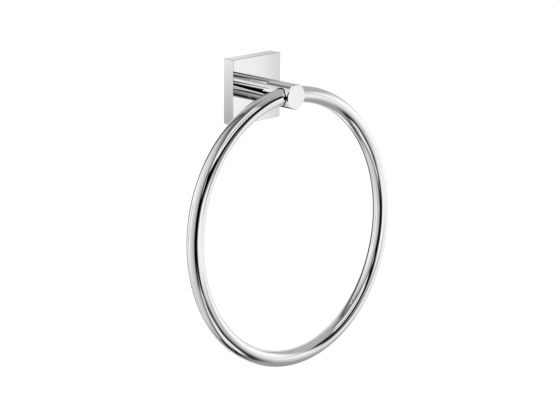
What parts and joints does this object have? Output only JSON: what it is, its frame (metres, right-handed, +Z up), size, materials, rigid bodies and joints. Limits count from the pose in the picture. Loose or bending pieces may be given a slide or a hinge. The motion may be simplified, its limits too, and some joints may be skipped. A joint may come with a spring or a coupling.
{
  "type": "towel ring",
  "caption": "Wall-mounted towel ring: a large round tube ring held fast in a short round post on a square cover plate, with a hidden wall bracket.",
  "frame": {"origin": "middle of the back of the cover plate, in the plane of the wall, midway between the two wall slots", "axes": "+Y into the wall, +Z up, +X to the right when facing the wall"},
  "size_m": [0.2134, 0.0628, 0.2317],
  "materials": {
    "plate_chrome": "polished chrome plate on a zinc casting",
    "post_chrome": "polished chrome plate on turned brass",
    "ring_chrome": "polished chrome plate on bent brass tube",
    "brass_pin": "turned, bare",
    "screw_steel": "zinc plated",
    "washer_steel": "zinc plated spring steel",
    "bracket_zinc": "bare zinc casting, matt",
    "grub_steel": "stainless, bright"
  },
  "bodies": {
    "root": {"cover_plate": "plate_chrome", "post": "post_chrome", "ring": "ring_chrome", "ring_joining_pin": "brass_pin", "ring_lock_screw": "screw_steel", "post_fixing_screw": "screw_steel", "lock_washer": "washer_steel", "wall_bracket": "bracket_zinc", "plate_grub_screw": "grub_steel"}
  },
  "joints": []
}
